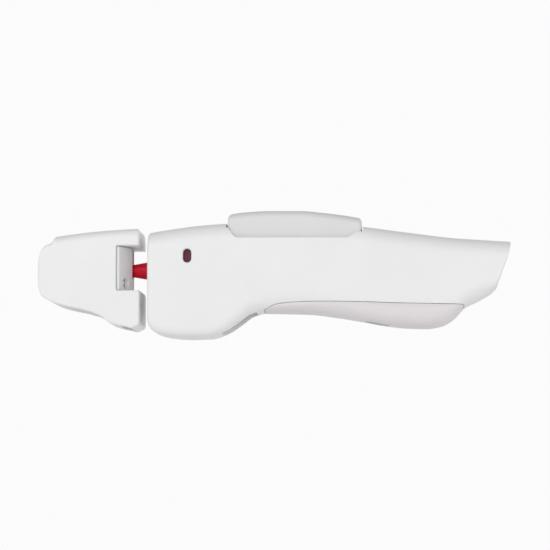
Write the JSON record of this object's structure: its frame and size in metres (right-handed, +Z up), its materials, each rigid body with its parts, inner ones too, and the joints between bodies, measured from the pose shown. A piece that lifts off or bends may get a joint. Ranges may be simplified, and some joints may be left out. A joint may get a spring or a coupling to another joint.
{
  "type": "stair gate latch",
  "caption": "Latch for a stair gate: a keeper cap for the post and a handle with a sliding red bolt, drawn back by a thumb button on top, so that the leaf can be lifted and opened.",
  "frame": {"origin": "centre of the keeper's seat on the post's top face", "axes": "+X from the keeper to the handle's tip, along the gate; +Z up along the post; -Y is the front, the side without screws"},
  "size_m": [0.2364, 0.038, 0.0639],
  "materials": {
    "shell_white": "fine moulded texture",
    "button_grey": "satin",
    "grip_grey": "matt soft touch",
    "bolt_red": "satin",
    "nylon_dark": "matt",
    "steel_zinc": "zinc plated",
    "spring_steel": "bright drawn"
  },
  "bodies": {
    "keeper": {"keeper_cap": "shell_white", "strike_block": "button_grey", "strike_screws": "steel_zinc"},
    "handle": {"front_shell": "shell_white", "back_shell": "shell_white", "grip_insert": "grip_grey", "shell_screws": "steel_zinc", "bolt_bush": "nylon_dark", "spring_plate": "steel_zinc", "bolt_spring": "spring_steel", "button_springs": "spring_steel"},
    "button": {"thumb_button": "button_grey", "wedge_foot": "nylon_dark", "wedge_screws": "steel_zinc"},
    "bolt": {"latch_bolt": "bolt_red", "draw_bar": "nylon_dark", "cross_pin": "steel_zinc", "pin_clips": "steel_zinc", "indicator_flags": "bolt_red", "tail_clip": "steel_zinc"}
  },
  "joints": [
    {"name": "leaf_lift", "type": "slide", "parent": "keeper", "child": "handle", "axis": [0, 0, 1], "range_m": [0, 0.007]},
    {"name": "button_press", "type": "slide", "parent": "handle", "child": "button", "axis": [0, 0, -1], "range_m": [0, 0.004], "stiffness_N_per_m": 500, "springref_m": -0.004, "deforming": ["button_springs"]},
    {"name": "bolt_slide", "type": "slide", "parent": "handle", "child": "bolt", "axis": [1, 0, 0], "range_m": [0, 0.006], "stiffness_N_per_m": 300, "springref_m": -0.005, "deforming": ["bolt_spring"]}
  ],
  "couplings": [
    {"joint": "bolt_slide", "follows": "button_press", "ratio": 1.5}
  ]
}
